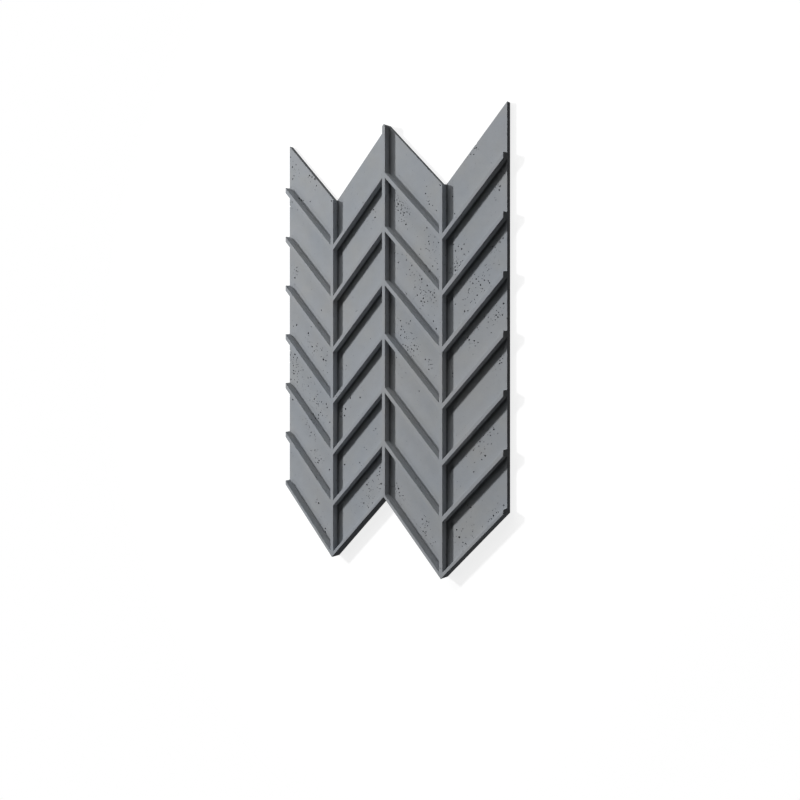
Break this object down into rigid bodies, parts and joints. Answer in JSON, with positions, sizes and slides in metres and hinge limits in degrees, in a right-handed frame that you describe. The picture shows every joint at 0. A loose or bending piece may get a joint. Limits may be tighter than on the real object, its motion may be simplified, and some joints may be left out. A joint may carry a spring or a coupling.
{
  "type": "concrete wall panel",
  "caption": "Cast concrete wall panel with a zigzag top and bottom edge and a raised herringbone of thin ribs on its face; it is glued flat to a wall beside its like.",
  "frame": {"origin": "middle of the panel's bounding box, on the plane of its flat back", "axes": "+X across the panel to the right as seen from the front, +Y up the wall, +Z out of the wall, so the panel lies on its back with the relief up"},
  "size_m": [0.596, 0.9444, 0.025],
  "materials": {
    "concrete": "matt cast concrete with scattered air pores"
  },
  "bodies": {
    "root": {"wall_panel": "concrete"}
  },
  "joints": []
}
